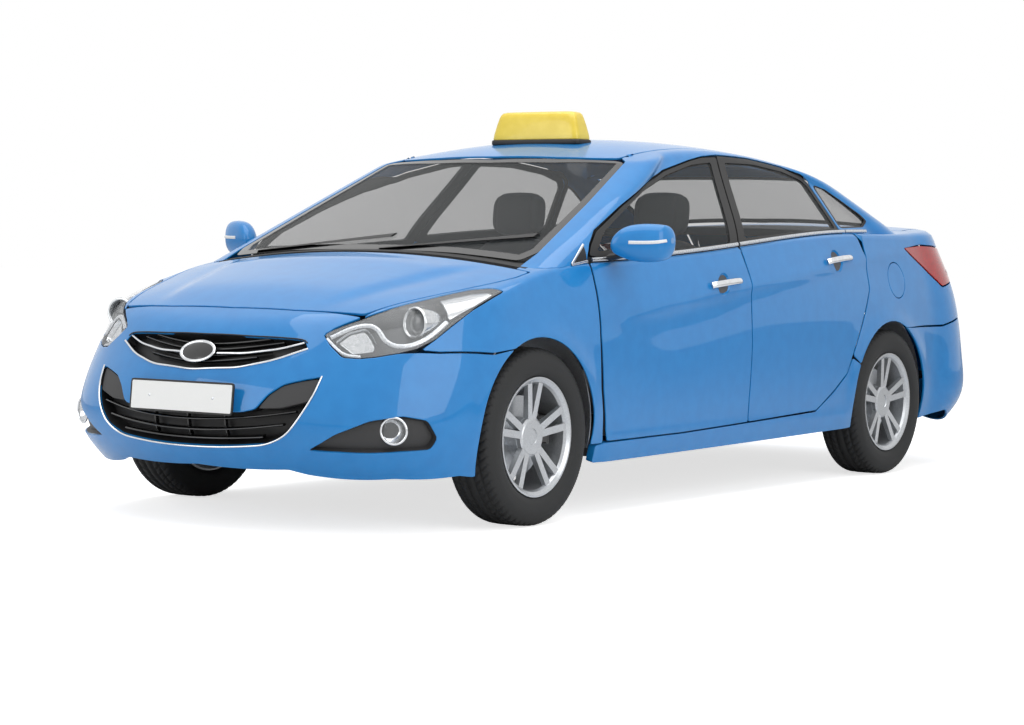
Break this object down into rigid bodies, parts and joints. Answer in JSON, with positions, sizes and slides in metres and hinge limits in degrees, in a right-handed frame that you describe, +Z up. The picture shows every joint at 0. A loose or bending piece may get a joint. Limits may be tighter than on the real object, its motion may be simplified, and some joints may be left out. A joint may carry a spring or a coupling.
{
  "type": "four-door saloon taxi cab",
  "caption": "Right-hand-drive four-door saloon taxi with a blank roof sign, opening doors, bonnet and boot lid, steering front wheels and a seated cabin.",
  "frame": {"origin": "on the ground, under the centre of the overall length and width", "axes": "+Z up, front of the car towards -Y, left side of the car towards +X"},
  "size_m": [2.2002, 4.7622, 1.576],
  "materials": {
    "body_paint": "gloss light blue",
    "underbody": "satin black",
    "dark_plastic": "textured black",
    "glass": "grey tint",
    "lamp_clear": "clear lens",
    "lamp_red": "red lens",
    "seat_fabric": "grey cloth",
    "dash_plastic": "soft grey",
    "alloy": "silver lacquer",
    "tyre": "rubber",
    "iron": "raw",
    "steel": "aluminised",
    "sign_yellow": "translucent yellow",
    "plate_white": "reflective white"
  },
  "bodies": {
    "shell": {"side_frame_left": "body_paint", "side_frame_right": "body_paint", "front_wing_left": "body_paint", "front_wing_right": "body_paint", "roof_panel": "body_paint", "rear_shelf": "body_paint", "floor_pan": "underbody", "front_bumper": "body_paint", "rear_bumper": "body_paint", "grilles": "dark_plastic", "windscreen": "glass", "rear_screen": "glass", "glass_quarter": "glass", "headlamps": "lamp_clear", "tail_lamps": "lamp_red", "fog_lamps": "dark_plastic", "front_seats": "seat_fabric", "rear_seat": "seat_fabric", "dashboard": "dash_plastic", "wheel_liners": "dark_plastic", "front_subframe": "iron", "rear_axle": "iron", "engine_block": "iron", "exhaust": "steel", "roof_sign": "sign_yellow", "wipers": "dark_plastic", "number_plates": "plate_white"},
    "bonnet_body": {"bonnet": "body_paint"},
    "boot_body": {"boot_lid": "body_paint"},
    "fuel_flap_body": {"fuel_flap": "body_paint"},
    "front_door_left_body": {"door_front_left": "body_paint", "glass_front_left": "glass"},
    "rear_door_left_body": {"door_rear_left": "body_paint", "glass_rear_left": "glass"},
    "knuckle_left_body": {"knuckle_left": "iron"},
    "front_wheel_left_body": {"wheel_front_left": "alloy", "tyre_front_left": "tyre"},
    "rear_wheel_left_body": {"wheel_rear_left": "alloy", "tyre_rear_left": "tyre"},
    "front_door_right_body": {"door_front_right": "body_paint", "glass_front_right": "glass"},
    "rear_door_right_body": {"door_rear_right": "body_paint", "glass_rear_right": "glass"},
    "knuckle_right_body": {"knuckle_right": "iron"},
    "front_wheel_right_body": {"wheel_front_right": "alloy", "tyre_front_right": "tyre"},
    "rear_wheel_right_body": {"wheel_rear_right": "alloy", "tyre_rear_right": "tyre"}
  },
  "joints": [
    {"name": "front_door_left_hinge", "type": "hinge", "parent": "shell", "child": "front_door_left_body", "pos_m": [0.878, -1.005, 0.6], "axis": [0, 0, -1], "range_deg": [0, 65]},
    {"name": "rear_door_left_hinge", "type": "hinge", "parent": "shell", "child": "rear_door_left_body", "pos_m": [0.888, 0.118, 0.6], "axis": [0, 0, -1], "range_deg": [0, 65]},
    {"name": "steer_left", "type": "hinge", "parent": "shell", "child": "knuckle_left_body", "pos_m": [0.74, -1.44, 0.326], "axis": [0, 0, 1], "range_deg": [-32, 32]},
    {"name": "front_wheel_left_spin", "type": "hinge", "parent": "knuckle_left_body", "child": "front_wheel_left_body", "pos_m": [0.79, -1.44, 0.326], "axis": [1, 0, 0], "continuous": true},
    {"name": "rear_wheel_left_spin", "type": "hinge", "parent": "shell", "child": "rear_wheel_left_body", "pos_m": [0.79, 1.33, 0.326], "axis": [1, 0, 0], "continuous": true},
    {"name": "front_door_right_hinge", "type": "hinge", "parent": "shell", "child": "front_door_right_body", "pos_m": [-0.878, -1.005, 0.6], "axis": [0, 0, 1], "range_deg": [0, 65]},
    {"name": "rear_door_right_hinge", "type": "hinge", "parent": "shell", "child": "rear_door_right_body", "pos_m": [-0.888, 0.118, 0.6], "axis": [0, 0, 1], "range_deg": [0, 65]},
    {"name": "steer_right", "type": "hinge", "parent": "shell", "child": "knuckle_right_body", "pos_m": [-0.74, -1.44, 0.326], "axis": [0, 0, 1], "range_deg": [-32, 32]},
    {"name": "front_wheel_right_spin", "type": "hinge", "parent": "knuckle_right_body", "child": "front_wheel_right_body", "pos_m": [-0.79, -1.44, 0.326], "axis": [1, 0, 0], "continuous": true},
    {"name": "rear_wheel_right_spin", "type": "hinge", "parent": "shell", "child": "rear_wheel_right_body", "pos_m": [-0.79, 1.33, 0.326], "axis": [1, 0, 0], "continuous": true},
    {"name": "bonnet_hinge", "type": "hinge", "parent": "shell", "child": "bonnet_body", "pos_m": [0, -1.402, 0.959], "axis": [-1, 0, 0], "range_deg": [0, 50]},
    {"name": "boot_hinge", "type": "hinge", "parent": "shell", "child": "boot_body", "pos_m": [0, 1.776, 1.105], "axis": [1, 0, 0], "range_deg": [0, 75]},
    {"name": "fuel_flap_hinge", "type": "hinge", "parent": "shell", "child": "fuel_flap_body", "pos_m": [0.875, 1.346, 0.872], "axis": [0, 0, -1], "range_deg": [0, 75]}
  ],
  "couplings": [
    {"joint": "steer_right", "follows": "steer_left", "ratio": 1}
  ]
}
